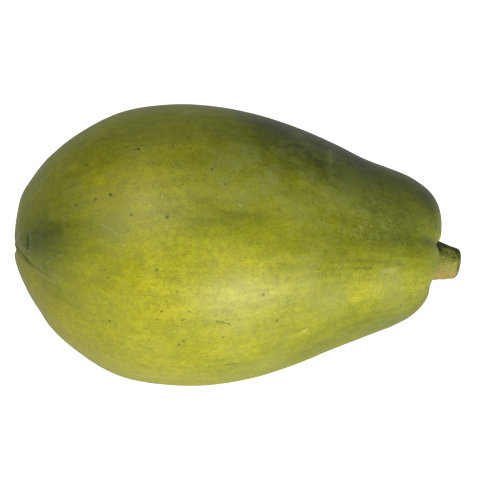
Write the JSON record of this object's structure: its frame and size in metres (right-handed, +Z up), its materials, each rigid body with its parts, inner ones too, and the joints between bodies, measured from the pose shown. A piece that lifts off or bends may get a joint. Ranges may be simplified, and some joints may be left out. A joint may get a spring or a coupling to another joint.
{
  "type": "whole green papaya",
  "caption": "Whole green papaya lying on its side: a pear-shaped lobed fruit with a puckered blossom end and the cut stub of its stem.",
  "frame": {"origin": "under the middle of the object's box, on the surface that the fruit lies on", "axes": "+X from the blossom end to the stem, +Z up, -Y is the front"},
  "size_m": [0.2236, 0.14, 0.1396],
  "materials": {
    "skin": "waxy green to yellow-green papaya skin, mottled and lightly scarred",
    "stem": "dry green stem with tan cork patches"
  },
  "bodies": {
    "root": {"fruit": "skin", "stem": "stem"}
  },
  "joints": []
}
